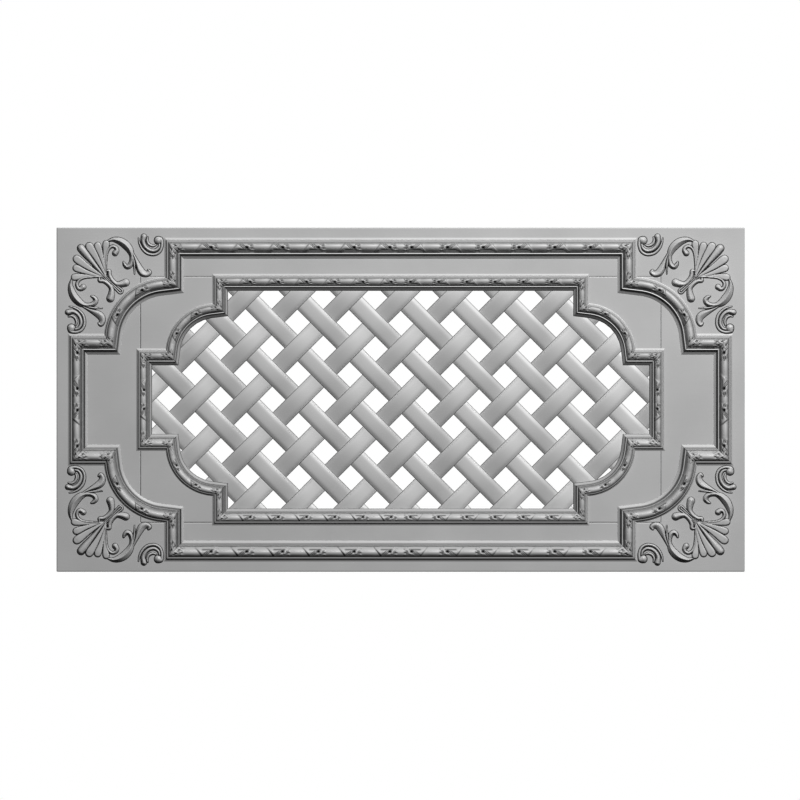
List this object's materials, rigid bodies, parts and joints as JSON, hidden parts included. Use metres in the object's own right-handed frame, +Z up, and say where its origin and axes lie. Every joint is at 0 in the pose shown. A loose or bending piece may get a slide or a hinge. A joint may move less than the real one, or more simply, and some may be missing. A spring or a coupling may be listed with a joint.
{
  "type": "carved fretwork grille",
  "caption": "Rectangular carved wooden grille panel with a woven diagonal slat lattice in a notched opening, husk-carved mouldings and corner palmettes with scrolls.",
  "frame": {"origin": "on the back face, at the middle of the top rail", "axes": "+X along the panel to the viewer's right, +Z up, +Y out of the back, so the carved front faces -Y"},
  "size_m": [1.2, 0.0296, 0.6],
  "materials": {
    "board_paint": "satin grey paint over a smooth wooden board",
    "moulding_paint": "satin grey paint on carved wood, a little darker in the hollows",
    "carving_paint": "satin grey paint on carved wood, a little darker in the hollows",
    "lattice_paint": "satin light grey paint over thin bent wooden slats"
  },
  "bodies": {
    "root": {"frame_board": "board_paint", "insert_board": "board_paint", "outer_moulding": "moulding_paint", "inner_moulding": "moulding_paint", "rising_slat_1": "lattice_paint", "rising_slat_2": "lattice_paint", "rising_slat_3": "lattice_paint", "rising_slat_4": "lattice_paint", "rising_slat_5": "lattice_paint", "rising_slat_6": "lattice_paint", "rising_slat_7": "lattice_paint", "rising_slat_8": "lattice_paint", "rising_slat_9": "lattice_paint", "rising_slat_10": "lattice_paint", "rising_slat_11": "lattice_paint", "rising_slat_12": "lattice_paint", "rising_slat_13": "lattice_paint", "falling_slat_1": "lattice_paint", "falling_slat_2": "lattice_paint", "falling_slat_3": "lattice_paint", "falling_slat_4": "lattice_paint", "falling_slat_5": "lattice_paint", "falling_slat_6": "lattice_paint", "falling_slat_7": "lattice_paint", "falling_slat_8": "lattice_paint", "falling_slat_9": "lattice_paint", "falling_slat_10": "lattice_paint", "falling_slat_11": "lattice_paint", "falling_slat_12": "lattice_paint", "falling_slat_13": "lattice_paint", "palmette_top_left": "carving_paint", "scroll_top_left_long_edge": "carving_paint", "scroll_top_left_short_edge": "carving_paint", "palmette_top_right": "carving_paint", "scroll_top_right_long_edge": "carving_paint", "scroll_top_right_short_edge": "carving_paint", "palmette_bottom_left": "carving_paint", "scroll_bottom_left_long_edge": "carving_paint", "scroll_bottom_left_short_edge": "carving_paint", "palmette_bottom_right": "carving_paint", "scroll_bottom_right_long_edge": "carving_paint", "scroll_bottom_right_short_edge": "carving_paint"}
  },
  "joints": []
}
